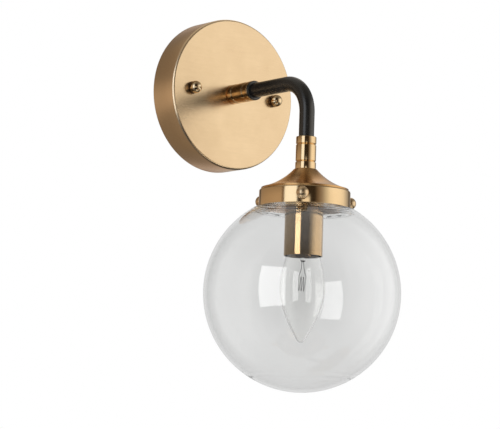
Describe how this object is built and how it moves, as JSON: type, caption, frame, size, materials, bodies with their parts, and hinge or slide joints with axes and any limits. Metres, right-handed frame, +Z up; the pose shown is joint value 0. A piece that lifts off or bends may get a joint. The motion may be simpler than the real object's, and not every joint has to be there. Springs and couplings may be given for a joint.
{
  "type": "globe wall sconce",
  "caption": "Wall sconce with a round brass backplate, a bent black arm and a brass ring that holds a clear glass globe round a candle bulb.",
  "frame": {"origin": "centre of the mounting plate's back face, on the wall plane", "axes": "+Z up, +Y into the wall, so the sconce stands out towards -Y; +X to the right as seen from the room"},
  "size_m": [0.1494, 0.1919, 0.2982],
  "materials": {
    "plate_brass": "fine brushed satin brass",
    "satin_brass": "polished satin brass",
    "black_metal": "satin black",
    "steel": "zinc-plated",
    "ground_green": "green",
    "globe_glass": "clear blown glass",
    "bulb_glass": "clear thin glass",
    "bulb_metal": "nickel-plated brass",
    "black_glass": "black glass",
    "solder": "dull tin",
    "filament_wire": "tungsten",
    "porcelain": "glazed porcelain",
    "contact_brass": "plain brass",
    "wire_black": "black insulation",
    "wire_white": "white insulation",
    "wire_green": "green insulation",
    "connector_plastic": "orange moulded plastic"
  },
  "bodies": {
    "fixture": {"mounting_plate": "steel", "mounting_studs": "steel", "ground_screw": "ground_green", "ground_wire": "wire_green", "wire_connectors": "connector_plastic", "line_wire": "wire_black", "neutral_wire": "wire_white", "backplate": "plate_brass", "arm_nipple": "steel", "arm_washer": "steel", "arm_locknut": "steel", "upper_coupling": "satin_brass", "arm_collar": "black_metal", "arm_tube": "black_metal", "lower_coupling": "satin_brass", "lower_nipple": "steel", "bell_cap": "satin_brass", "gallery_ring": "satin_brass", "socket_cover": "satin_brass", "holder_washer": "steel", "holder_locknut": "steel", "holder_strap": "steel", "strap_screws": "steel", "lamp_holder": "porcelain", "screw_shell": "contact_brass", "centre_contact": "contact_brass"},
    "cap_nut_left": {"cap_nut_left": "satin_brass"},
    "cap_nut_right": {"cap_nut_right": "satin_brass"},
    "thumbscrew_front": {"thumbscrew_front": "satin_brass"},
    "thumbscrew_left": {"thumbscrew_left": "satin_brass"},
    "thumbscrew_right": {"thumbscrew_right": "satin_brass"},
    "globe": {"glass_globe": "globe_glass"},
    "bulb": {"bulb_envelope": "bulb_glass", "bulb_stem": "bulb_glass", "bulb_leads": "filament_wire", "filament": "filament_wire", "bulb_cap": "bulb_metal", "cap_insulator": "black_glass", "bulb_contact": "solder"}
  },
  "joints": [
    {"name": "cap_nut_left_off", "type": "slide", "parent": "fixture", "child": "cap_nut_left", "axis": [0, -1, 0], "range_m": [0, 0.0046]},
    {"name": "cap_nut_right_off", "type": "slide", "parent": "fixture", "child": "cap_nut_right", "axis": [0, -1, 0], "range_m": [0, 0.0046]},
    {"name": "thumbscrew_front_out", "type": "slide", "parent": "fixture", "child": "thumbscrew_front", "axis": [-0.6743, -0.7385, 0], "range_m": [0, 0.0035]},
    {"name": "thumbscrew_left_out", "type": "slide", "parent": "fixture", "child": "thumbscrew_left", "axis": [-0.3024, 0.9532, 0], "range_m": [0, 0.0035]},
    {"name": "thumbscrew_right_out", "type": "slide", "parent": "fixture", "child": "thumbscrew_right", "axis": [0.9767, -0.2147, 0], "range_m": [0, 0.0035]},
    {"name": "globe_drop", "type": "slide", "parent": "fixture", "child": "globe", "axis": [0, 0, -1], "range_m": [0, 0.115]},
    {"name": "bulb_out", "type": "slide", "parent": "fixture", "child": "bulb", "axis": [0, 0, -1], "range_m": [0, 0.026]}
  ]
}
